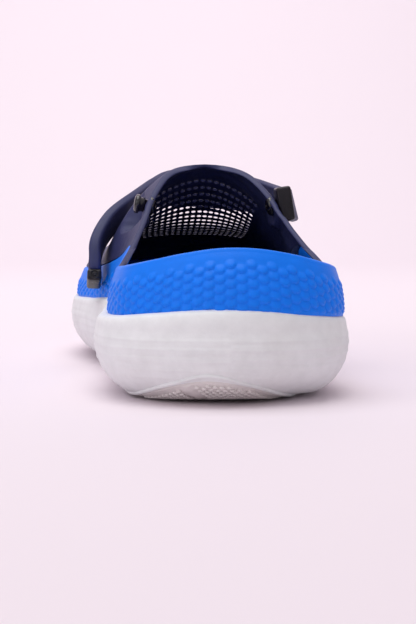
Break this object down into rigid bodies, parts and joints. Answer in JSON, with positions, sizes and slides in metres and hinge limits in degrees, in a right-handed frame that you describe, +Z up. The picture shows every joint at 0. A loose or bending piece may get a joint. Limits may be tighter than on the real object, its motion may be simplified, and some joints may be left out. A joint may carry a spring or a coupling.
{
  "type": "garden clog",
  "caption": "Left foam clog with a bulging white sole, low blue heel collar, perforated navy upper and a swinging heel strap.",
  "frame": {"origin": "on the floor, at the middle of the clog's footprint", "axes": "+Y towards the toe, +X towards the inner side of the foot, +Z up"},
  "size_m": [0.112, 0.285, 0.0866],
  "materials": {
    "white_foam": "soft moulded foam, satin",
    "tread_rubber": "matt moulded rubber",
    "blue_foam": "soft moulded foam, satin",
    "navy_foam": "soft moulded foam, satin",
    "footbed_foam": "soft foam, matt",
    "black_plastic": "glossy moulded plastic"
  },
  "bodies": {
    "clog": {"sole": "white_foam", "heel_tread": "tread_rubber", "forefoot_tread": "tread_rubber", "footbed": "footbed_foam", "collar": "blue_foam", "upper": "navy_foam", "button_right": "black_plastic", "button_left": "black_plastic", "stud_right": "black_plastic", "stud_left": "black_plastic"},
    "strap": {"strap_band": "navy_foam", "strap_cap_right": "black_plastic", "strap_cap_left": "black_plastic", "socket_ring_right": "black_plastic", "socket_ring_left": "black_plastic"}
  },
  "joints": [
    {"name": "strap_swing", "type": "hinge", "parent": "clog", "child": "strap", "pos_m": [0.03421, -0.0335, 0.069], "axis": [0.9877, 0, 0.1564], "range_deg": [0, 168]}
  ]
}
